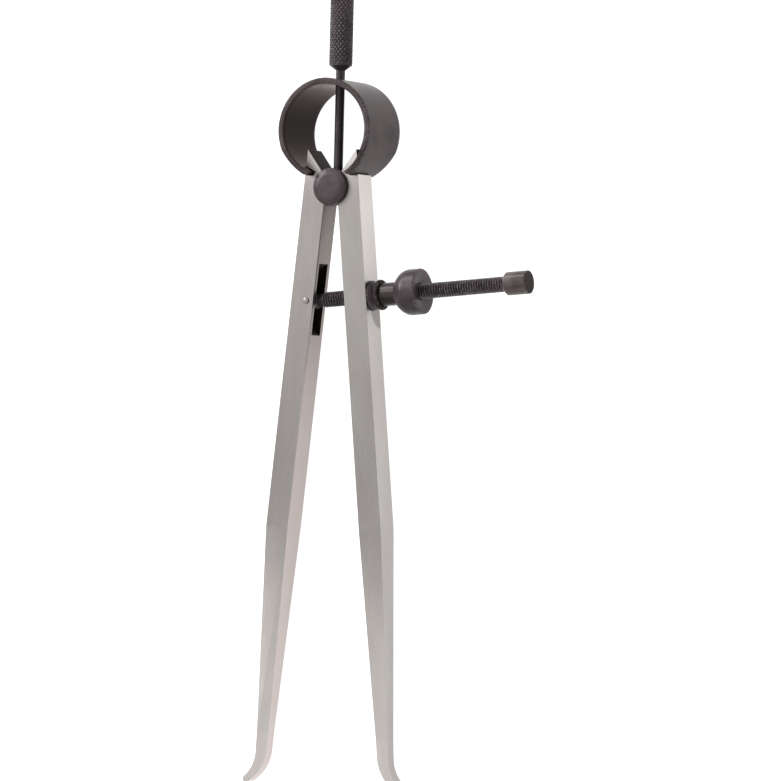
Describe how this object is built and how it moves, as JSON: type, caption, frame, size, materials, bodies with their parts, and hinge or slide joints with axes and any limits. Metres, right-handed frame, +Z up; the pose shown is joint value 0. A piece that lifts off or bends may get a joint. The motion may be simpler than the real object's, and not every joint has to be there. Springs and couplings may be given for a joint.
{
  "type": "spring caliper",
  "caption": "Inside spring caliper: tapered steel legs with out-turned feet rock on a fulcrum under a bow spring; a nut on a cross screw sets the opening.",
  "frame": {"origin": "centre of the footprint, on the surface that the caliper lies on", "axes": "+X towards the free end of the screw, +Y from the feet to the handle, +Z up out of the front face"},
  "size_m": [0.0764, 0.2118, 0.0172],
  "materials": {
    "ground_steel": "satin ground along the leg",
    "black_oxide_steel": "black oxide, matt"
  },
  "bodies": {
    "frame": {"fulcrum": "black_oxide_steel", "handle": "black_oxide_steel", "bow_spring": "black_oxide_steel"},
    "left_leg": {"left_leg": "ground_steel", "screw_pin": "ground_steel"},
    "right_leg": {"right_leg": "ground_steel", "seat_washer": "black_oxide_steel"},
    "screw": {"adjusting_screw": "black_oxide_steel", "screw_cap": "black_oxide_steel"},
    "washer": {"thrust_washer": "black_oxide_steel"},
    "nut": {"adjusting_nut": "black_oxide_steel"}
  },
  "joints": [
    {"name": "left_leg_swing", "type": "hinge", "parent": "frame", "child": "left_leg", "pos_m": [-0.01586, 0.04367, 0.00786], "axis": [0, 0.0422, -0.9991], "range_deg": [-6, 13.5], "deforming": ["bow_spring"]},
    {"name": "right_leg_swing", "type": "hinge", "parent": "frame", "child": "right_leg", "pos_m": [-0.01586, 0.04367, 0.00786], "axis": [0, -0.0422, 0.9991], "range_deg": [-6, 13.5]},
    {"name": "screw_tilt", "type": "hinge", "parent": "left_leg", "child": "screw", "pos_m": [-0.02221, 0.01528, 0.00666], "axis": [0, -0.0422, 0.9991], "range_deg": [-5.76, 12.96]},
    {"name": "nut_travel", "type": "slide", "parent": "screw", "child": "washer", "axis": [0.9962, 0.0871, 0.0037], "range_m": [-0.00584, 0.01313]},
    {"name": "nut_spin", "type": "hinge", "parent": "washer", "child": "nut", "pos_m": [-0.00224, 0.01703, 0.00674], "axis": [0.9962, 0.0871, 0.0037], "range_deg": [-2990, 6740]}
  ],
  "couplings": [
    {"joint": "nut_travel", "follows": "nut_spin", "m_per_rad": 0.00011141},
    {"joint": "left_leg_swing", "follows": "nut_spin", "ratio": 0.0020005},
    {"joint": "right_leg_swing", "follows": "nut_spin", "ratio": 0.0020005},
    {"joint": "screw_tilt", "follows": "nut_spin", "ratio": 0.0019204}
  ]
}
